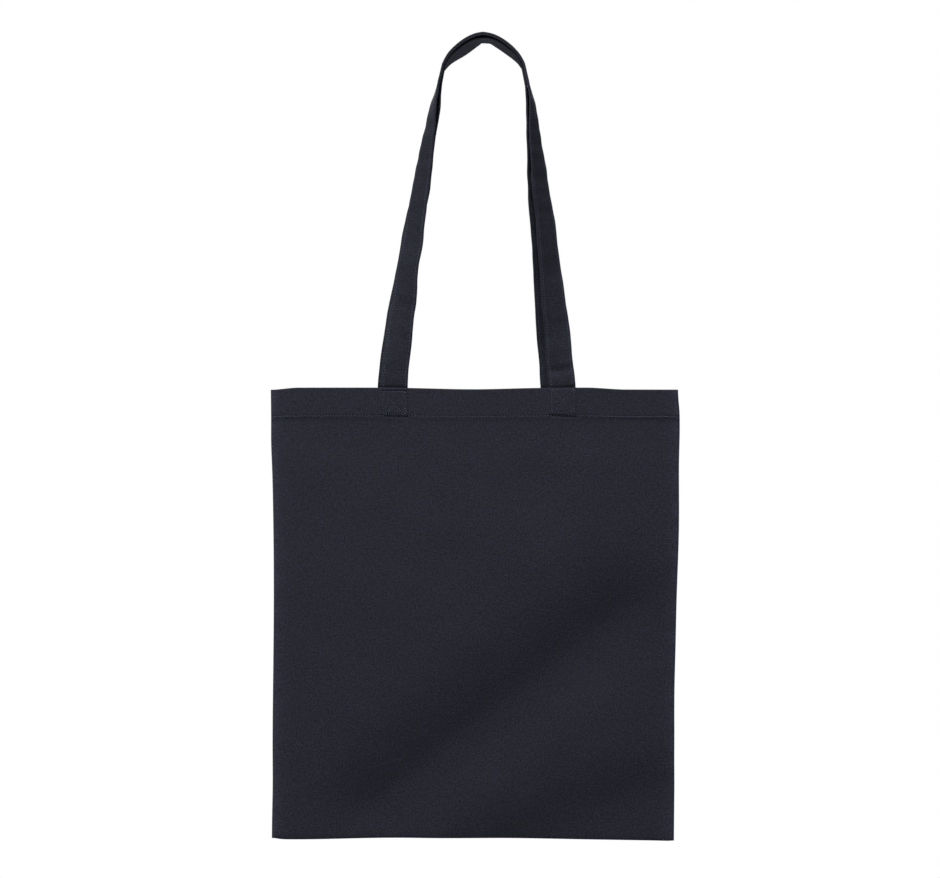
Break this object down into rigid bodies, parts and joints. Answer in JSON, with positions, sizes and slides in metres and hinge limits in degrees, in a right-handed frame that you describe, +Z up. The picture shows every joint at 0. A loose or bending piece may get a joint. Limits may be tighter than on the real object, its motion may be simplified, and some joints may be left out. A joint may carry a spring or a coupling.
{
  "type": "canvas tote bag",
  "caption": "Flat rectangular canvas tote bag with a stitched top hem and long flat carrying handles, hung by its handles.",
  "frame": {"origin": "the point on the underside of the back handle's arch where a hook or peg carries the hung bag", "axes": "+Z up along the bag, +X to the right seen from the front, the front panel faces -Y"},
  "size_m": [0.38, 0.0312, 0.7523],
  "materials": {
    "canvas": "matt plain-weave cotton canvas, charcoal",
    "strap_canvas": "matt folded cotton canvas strap, charcoal",
    "seam_canvas": "matt cotton canvas, raw edges inside the bag",
    "thread": "polyester sewing thread, slight sheen",
    "overlock_thread": "looped overlock thread, matt"
  },
  "bodies": {
    "bag": {"back_panel": "canvas", "back_hem": "canvas", "back_hem_stitching": "thread", "back_handle_left_end": "strap_canvas", "back_handle_right_end": "strap_canvas", "back_left_box_stitching": "thread", "back_right_box_stitching": "thread", "left_side_seam": "seam_canvas", "right_side_seam": "seam_canvas", "bottom_seam": "seam_canvas", "left_side_overlock": "overlock_thread", "right_side_overlock": "overlock_thread", "bottom_overlock": "overlock_thread"},
    "front": {"front_panel": "canvas", "front_hem": "canvas", "front_hem_stitching": "thread", "front_handle_left_end": "strap_canvas", "front_handle_right_end": "strap_canvas", "front_left_box_stitching": "thread", "front_right_box_stitching": "thread"},
    "front_handle": {"front_handle": "strap_canvas", "front_handle_inner_stitching": "thread", "front_handle_outer_stitching": "thread"},
    "back_handle": {"back_handle": "strap_canvas", "back_handle_inner_stitching": "thread", "back_handle_outer_stitching": "thread"}
  },
  "joints": [
    {"name": "mouth_open", "type": "hinge", "parent": "bag", "child": "front", "pos_m": [-0.0075, 0, -0.747], "axis": [1, 0, 0], "range_deg": [0, 4.5]},
    {"name": "front_handle_fold", "type": "hinge", "parent": "front", "child": "front_handle", "pos_m": [-0.0042, -0.0072, -0.3266], "axis": [1, 0, 0], "range_deg": [0, 175]},
    {"name": "back_handle_fold", "type": "hinge", "parent": "bag", "child": "back_handle", "pos_m": [-0.0098, 0.0072, -0.3266], "axis": [-1, 0, 0], "range_deg": [0, 175]}
  ]
}
